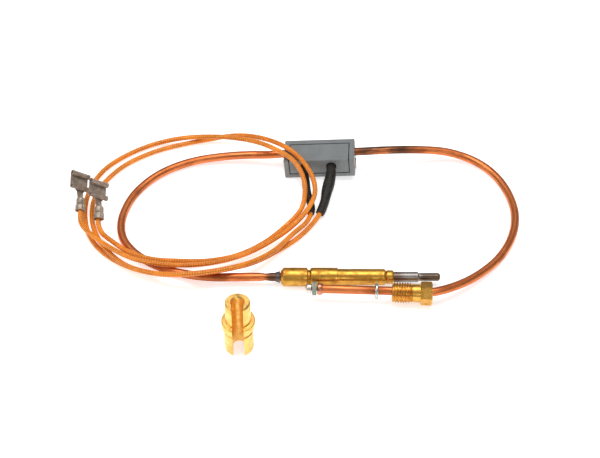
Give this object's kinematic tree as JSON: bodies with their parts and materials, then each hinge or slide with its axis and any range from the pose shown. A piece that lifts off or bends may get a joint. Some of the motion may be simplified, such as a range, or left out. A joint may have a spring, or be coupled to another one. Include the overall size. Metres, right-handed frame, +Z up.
{
  "type": "thermocouple",
  "caption": "Boiler thermocouple: sheathed probe on a looped copper tube with an interrupter box, braided tab leads, a gland nut for the gas valve and a loose split adaptor.",
  "frame": {"origin": "on the surface the part lies on, under the middle of the rigid assembly's box", "axes": "+X along the probe towards the hot tip, +Y towards the interrupter box, +Z up from the surface"},
  "size_m": [0.1803, 0.1202, 0.0244],
  "materials": {
    "sheath_steel": "satin, heat-tinted at the tip",
    "turned_brass": "turned",
    "bright_brass": "bright turned",
    "drawn_copper": "drawn copper, lightly tarnished",
    "constantan": "drawn wire",
    "lacquered_wire": "varnished",
    "glass_fibre_sleeve": "woven glass fibre",
    "heat_blued_solder": "heat-darkened",
    "grey_plastic": "moulded",
    "beige_plastic": "moulded",
    "heat_shrink": "shrunk tubing",
    "orange_braid": "glass-fibre braid",
    "tinned_brass": "tin plated",
    "tinned_strands": "stranded wire",
    "green_fibre_washer": "fibre",
    "spring_steel_washer": "zinc plated",
    "contact_solder": "solder dome"
  },
  "bodies": {
    "assembly": {"hot_tip_sheath": "sheath_steel", "probe_body": "turned_brass", "constantan_core": "constantan", "glass_fibre_sleeve": "glass_fibre_sleeve", "cold_junction_splice": "tinned_brass", "solder_ring": "heat_blued_solder", "probe_copper_tube": "drawn_copper", "probe_core_lead": "lacquered_wire", "valve_copper_tube": "drawn_copper", "valve_core_lead": "lacquered_wire", "interrupter_shell": "grey_plastic", "interrupter_cover": "grey_plastic", "insulating_carrier": "beige_plastic", "sheath_bridge": "drawn_copper", "core_ferrule_a": "tinned_brass", "core_ferrule_b": "tinned_brass", "heat_shrink_a": "heat_shrink", "heat_shrink_b": "heat_shrink", "lead_a": "orange_braid", "lead_b": "orange_braid", "flag_receptacle_a": "tinned_brass", "flag_receptacle_b": "tinned_brass", "conductor_a": "tinned_strands", "conductor_b": "tinned_strands", "seat_cone": "drawn_copper", "insulating_washer": "green_fibre_washer", "contact_tip": "contact_solder"},
    "lock_washer": {"lock_washer": "spring_steel_washer"},
    "gland_nut": {"gland_nut": "turned_brass"},
    "split_adaptor": {"split_adaptor": "bright_brass"}
  },
  "joints": [
    {"name": "washer_slide", "type": "slide", "parent": "assembly", "child": "lock_washer", "axis": [0.9992, -0.0401, 0], "range_m": [-0.019, 0]},
    {"name": "nut_spin", "type": "hinge", "parent": "lock_washer", "child": "gland_nut", "pos_m": [0.03497, -0.0266, 0.00485], "axis": [0.9992, -0.0401, 0], "continuous": true},
    {"name": "adaptor_lift", "type": "slide", "parent": "assembly", "child": "split_adaptor", "axis": [0, 0, 1], "range_m": [0, 0.06]}
  ]
}
